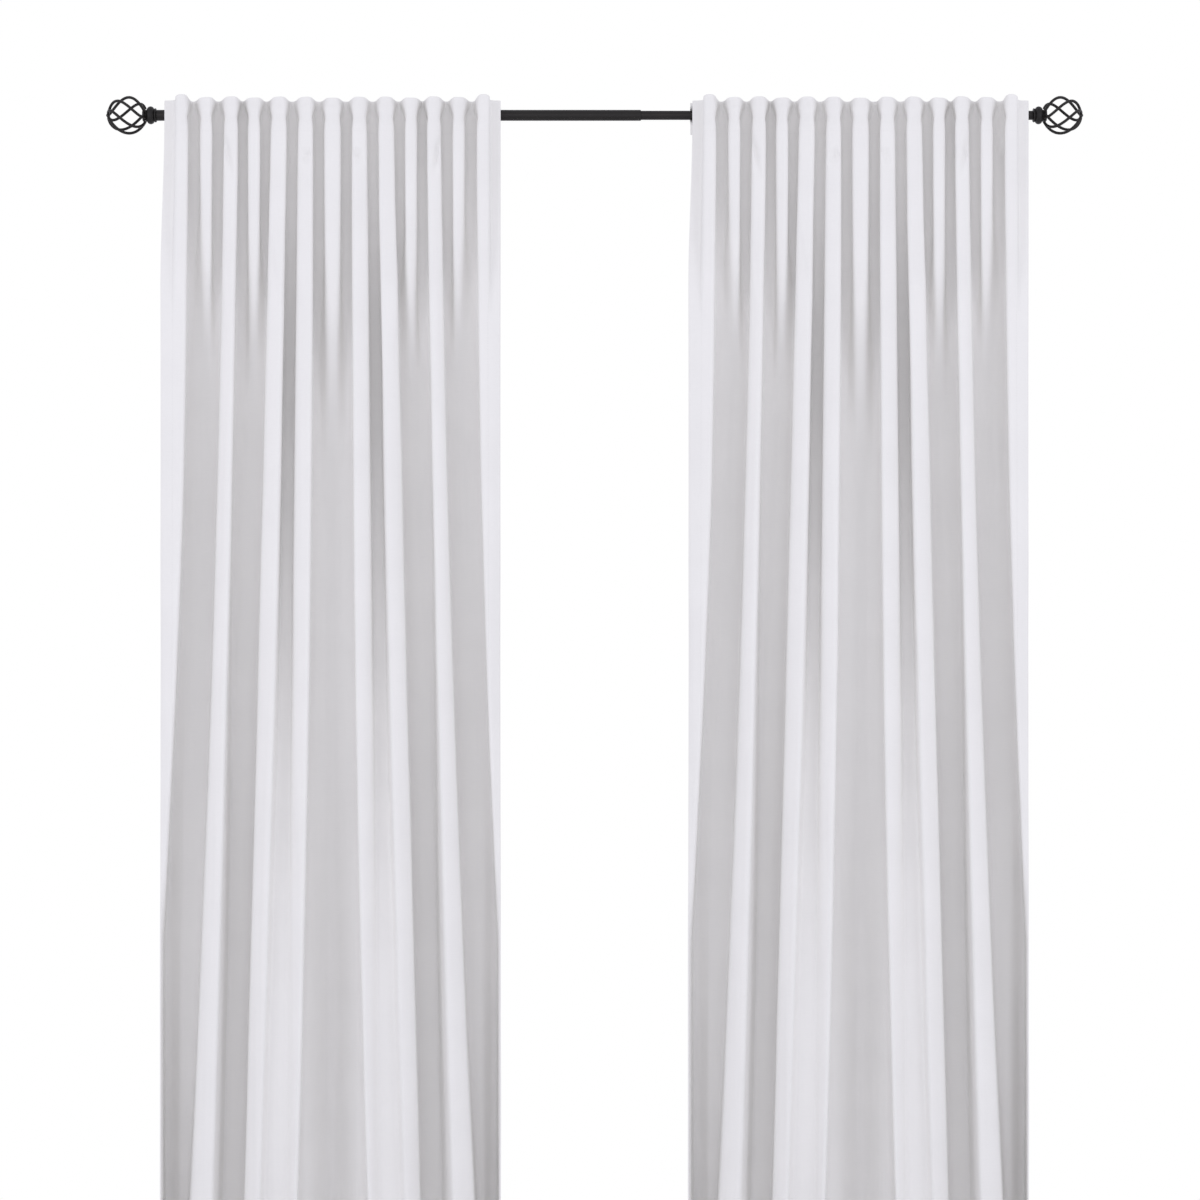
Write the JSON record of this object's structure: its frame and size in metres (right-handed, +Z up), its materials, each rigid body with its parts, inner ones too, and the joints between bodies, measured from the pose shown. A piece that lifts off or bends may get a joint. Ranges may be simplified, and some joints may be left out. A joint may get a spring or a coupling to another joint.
{
  "type": "window curtains on a rod",
  "caption": "Pair of gathered back-tab curtain panels on a telescoping rod with twisted-wire ball finials and two wall brackets.",
  "frame": {"origin": "centre of the back face of the left bracket's wall plate, where it meets the wall", "axes": "+X to the right as seen from the room, along the rod; +Y into the wall; +Z up"},
  "size_m": [1.7198, 0.1469, 2.15],
  "materials": {
    "white_cloth": "matte",
    "dark_bronze": "satin",
    "zinc_steel": "satin"
  },
  "bodies": {
    "brackets": {"left_wall_plate": "dark_bronze", "left_bracket_arm": "dark_bronze", "left_upper_screw": "zinc_steel", "left_lower_screw": "zinc_steel", "right_wall_plate": "dark_bronze", "right_bracket_arm": "dark_bronze", "right_upper_screw": "zinc_steel", "right_lower_screw": "zinc_steel"},
    "outer_rod": {"outer_tube": "dark_bronze", "left_end_plug": "zinc_steel"},
    "inner_rod": {"inner_tube": "dark_bronze", "right_end_plug": "zinc_steel"},
    "left_finial": {"left_finial_collar": "dark_bronze", "left_finial_wire_1": "dark_bronze", "left_finial_wire_2": "dark_bronze", "left_finial_wire_3": "dark_bronze", "left_finial_wire_4": "dark_bronze", "left_finial_wire_5": "dark_bronze", "left_finial_wire_6": "dark_bronze", "left_finial_tip": "dark_bronze"},
    "left_lock_screw": {"left_lock_screw": "dark_bronze"},
    "left_edge": {"left_panel_edge": "white_cloth"},
    "left_fold_01": {"left_panel_fold_01": "white_cloth"},
    "left_fold_02": {"left_panel_fold_02": "white_cloth"},
    "left_fold_03": {"left_panel_fold_03": "white_cloth"},
    "left_fold_04": {"left_panel_fold_04": "white_cloth"},
    "left_fold_05": {"left_panel_fold_05": "white_cloth"},
    "left_fold_06": {"left_panel_fold_06": "white_cloth"},
    "left_fold_07": {"left_panel_fold_07": "white_cloth"},
    "left_fold_08": {"left_panel_fold_08": "white_cloth"},
    "left_fold_09": {"left_panel_fold_09": "white_cloth"},
    "left_fold_10": {"left_panel_fold_10": "white_cloth"},
    "left_fold_11": {"left_panel_fold_11": "white_cloth"},
    "left_fold_12": {"left_panel_fold_12": "white_cloth"},
    "left_fold_13": {"left_panel_fold_13": "white_cloth"},
    "right_finial": {"right_finial_collar": "dark_bronze", "right_finial_wire_1": "dark_bronze", "right_finial_wire_2": "dark_bronze", "right_finial_wire_3": "dark_bronze", "right_finial_wire_4": "dark_bronze", "right_finial_wire_5": "dark_bronze", "right_finial_wire_6": "dark_bronze", "right_finial_tip": "dark_bronze"},
    "right_lock_screw": {"right_lock_screw": "dark_bronze"},
    "right_edge": {"right_panel_edge": "white_cloth"},
    "right_fold_01": {"right_panel_fold_01": "white_cloth"},
    "right_fold_02": {"right_panel_fold_02": "white_cloth"},
    "right_fold_03": {"right_panel_fold_03": "white_cloth"},
    "right_fold_04": {"right_panel_fold_04": "white_cloth"},
    "right_fold_05": {"right_panel_fold_05": "white_cloth"},
    "right_fold_06": {"right_panel_fold_06": "white_cloth"},
    "right_fold_07": {"right_panel_fold_07": "white_cloth"},
    "right_fold_08": {"right_panel_fold_08": "white_cloth"},
    "right_fold_09": {"right_panel_fold_09": "white_cloth"},
    "right_fold_10": {"right_panel_fold_10": "white_cloth"},
    "right_fold_11": {"right_panel_fold_11": "white_cloth"},
    "right_fold_12": {"right_panel_fold_12": "white_cloth"},
    "right_fold_13": {"right_panel_fold_13": "white_cloth"}
  },
  "joints": [
    {"name": "rod_lift", "type": "slide", "parent": "brackets", "child": "outer_rod", "axis": [0, 0, 1], "range_m": [0, 0.03]},
    {"name": "rod_extend", "type": "slide", "parent": "outer_rod", "child": "inner_rod", "axis": [1, 0, 0], "range_m": [-0.008, 0.13]},
    {"name": "left_finial_turn", "type": "hinge", "parent": "outer_rod", "child": "left_finial", "pos_m": [-0.0463, -0.09, 0], "axis": [-1, 0, 0], "continuous": true},
    {"name": "left_lock_turn", "type": "hinge", "parent": "brackets", "child": "left_lock_screw", "pos_m": [0, -0.09, 0], "axis": [0, 0, 1], "continuous": true},
    {"name": "left_swing", "type": "hinge", "parent": "outer_rod", "child": "left_edge", "pos_m": [0, -0.09, 0], "axis": [1, 0, 0], "range_deg": [-12, 0.9]},
    {"name": "left_draw", "type": "slide", "parent": "left_edge", "child": "left_fold_13", "axis": [1, 0, 0], "range_m": [-0.14, 0.16]},
    {"name": "left_gather_01", "type": "slide", "parent": "left_edge", "child": "left_fold_01", "axis": [1, 0, 0], "range_m": [-0.00285, 0.00319]},
    {"name": "left_gather_02", "type": "slide", "parent": "left_edge", "child": "left_fold_02", "axis": [1, 0, 0], "range_m": [-0.00941, 0.01069]},
    {"name": "left_gather_03", "type": "slide", "parent": "left_edge", "child": "left_fold_03", "axis": [1, 0, 0], "range_m": [-0.01942, 0.02212]},
    {"name": "left_gather_04", "type": "slide", "parent": "left_edge", "child": "left_fold_04", "axis": [1, 0, 0], "range_m": [-0.0321, 0.03662]},
    {"name": "left_gather_05", "type": "slide", "parent": "left_edge", "child": "left_fold_05", "axis": [1, 0, 0], "range_m": [-0.0467, 0.0533]},
    {"name": "left_gather_06", "type": "slide", "parent": "left_edge", "child": "left_fold_06", "axis": [1, 0, 0], "range_m": [-0.06244, 0.07129]},
    {"name": "left_gather_07", "type": "slide", "parent": "left_edge", "child": "left_fold_07", "axis": [1, 0, 0], "range_m": [-0.07856, 0.08971]},
    {"name": "left_gather_08", "type": "slide", "parent": "left_edge", "child": "left_fold_08", "axis": [1, 0, 0], "range_m": [-0.0943, 0.1077]},
    {"name": "left_gather_09", "type": "slide", "parent": "left_edge", "child": "left_fold_09", "axis": [1, 0, 0], "range_m": [-0.1089, 0.12438]},
    {"name": "left_gather_10", "type": "slide", "parent": "left_edge", "child": "left_fold_10", "axis": [1, 0, 0], "range_m": [-0.12158, 0.13888]},
    {"name": "left_gather_11", "type": "slide", "parent": "left_edge", "child": "left_fold_11", "axis": [1, 0, 0], "range_m": [-0.13159, 0.15031]},
    {"name": "left_gather_12", "type": "slide", "parent": "left_edge", "child": "left_fold_12", "axis": [1, 0, 0], "range_m": [-0.13815, 0.15781]},
    {"name": "right_finial_turn", "type": "hinge", "parent": "inner_rod", "child": "right_finial", "pos_m": [1.4953, -0.09, 0], "axis": [1, 0, 0], "continuous": true},
    {"name": "right_lock_turn", "type": "hinge", "parent": "brackets", "child": "right_lock_screw", "pos_m": [1.449, -0.09, 0], "axis": [0, 0, 1], "continuous": true},
    {"name": "right_swing", "type": "hinge", "parent": "outer_rod", "child": "right_edge", "pos_m": [1.449, -0.09, 0], "axis": [1, 0, 0], "range_deg": [-12, 0.9]},
    {"name": "right_draw", "type": "slide", "parent": "right_edge", "child": "right_fold_13", "axis": [-1, 0, 0], "range_m": [-0.14, 0.16]},
    {"name": "right_gather_01", "type": "slide", "parent": "right_edge", "child": "right_fold_01", "axis": [-1, 0, 0], "range_m": [-0.00285, 0.00319]},
    {"name": "right_gather_02", "type": "slide", "parent": "right_edge", "child": "right_fold_02", "axis": [-1, 0, 0], "range_m": [-0.00941, 0.01069]},
    {"name": "right_gather_03", "type": "slide", "parent": "right_edge", "child": "right_fold_03", "axis": [-1, 0, 0], "range_m": [-0.01942, 0.02212]},
    {"name": "right_gather_04", "type": "slide", "parent": "right_edge", "child": "right_fold_04", "axis": [-1, 0, 0], "range_m": [-0.0321, 0.03662]},
    {"name": "right_gather_05", "type": "slide", "parent": "right_edge", "child": "right_fold_05", "axis": [-1, 0, 0], "range_m": [-0.0467, 0.0533]},
    {"name": "right_gather_06", "type": "slide", "parent": "right_edge", "child": "right_fold_06", "axis": [-1, 0, 0], "range_m": [-0.06244, 0.07129]},
    {"name": "right_gather_07", "type": "slide", "parent": "right_edge", "child": "right_fold_07", "axis": [-1, 0, 0], "range_m": [-0.07856, 0.08971]},
    {"name": "right_gather_08", "type": "slide", "parent": "right_edge", "child": "right_fold_08", "axis": [-1, 0, 0], "range_m": [-0.0943, 0.1077]},
    {"name": "right_gather_09", "type": "slide", "parent": "right_edge", "child": "right_fold_09", "axis": [-1, 0, 0], "range_m": [-0.1089, 0.12438]},
    {"name": "right_gather_10", "type": "slide", "parent": "right_edge", "child": "right_fold_10", "axis": [-1, 0, 0], "range_m": [-0.12158, 0.13888]},
    {"name": "right_gather_11", "type": "slide", "parent": "right_edge", "child": "right_fold_11", "axis": [-1, 0, 0], "range_m": [-0.13159, 0.15031]},
    {"name": "right_gather_12", "type": "slide", "parent": "right_edge", "child": "right_fold_12", "axis": [-1, 0, 0], "range_m": [-0.13815, 0.15781]}
  ],
  "couplings": [
    {"joint": "left_gather_01", "follows": "left_draw", "ratio": 0.01681},
    {"joint": "left_gather_02", "follows": "left_draw", "ratio": 0.063676},
    {"joint": "left_gather_03", "follows": "left_draw", "ratio": 0.13513},
    {"joint": "left_gather_04", "follows": "left_draw", "ratio": 0.22572},
    {"joint": "left_gather_05", "follows": "left_draw", "ratio": 0.32997},
    {"joint": "left_gather_06", "follows": "left_draw", "ratio": 0.44241},
    {"joint": "left_gather_07", "follows": "left_draw", "ratio": 0.55759},
    {"joint": "left_gather_08", "follows": "left_draw", "ratio": 0.67003},
    {"joint": "left_gather_09", "follows": "left_draw", "ratio": 0.77428},
    {"joint": "left_gather_10", "follows": "left_draw", "ratio": 0.86487},
    {"joint": "left_gather_11", "follows": "left_draw", "ratio": 0.93632},
    {"joint": "left_gather_12", "follows": "left_draw", "ratio": 0.98319},
    {"joint": "right_gather_01", "follows": "right_draw", "ratio": 0.01681},
    {"joint": "right_gather_02", "follows": "right_draw", "ratio": 0.063676},
    {"joint": "right_gather_03", "follows": "right_draw", "ratio": 0.13513},
    {"joint": "right_gather_04", "follows": "right_draw", "ratio": 0.22572},
    {"joint": "right_gather_05", "follows": "right_draw", "ratio": 0.32997},
    {"joint": "right_gather_06", "follows": "right_draw", "ratio": 0.44241},
    {"joint": "right_gather_07", "follows": "right_draw", "ratio": 0.55759},
    {"joint": "right_gather_08", "follows": "right_draw", "ratio": 0.67003},
    {"joint": "right_gather_09", "follows": "right_draw", "ratio": 0.77428},
    {"joint": "right_gather_10", "follows": "right_draw", "ratio": 0.86487},
    {"joint": "right_gather_11", "follows": "right_draw", "ratio": 0.93632},
    {"joint": "right_gather_12", "follows": "right_draw", "ratio": 0.98319}
  ]
}
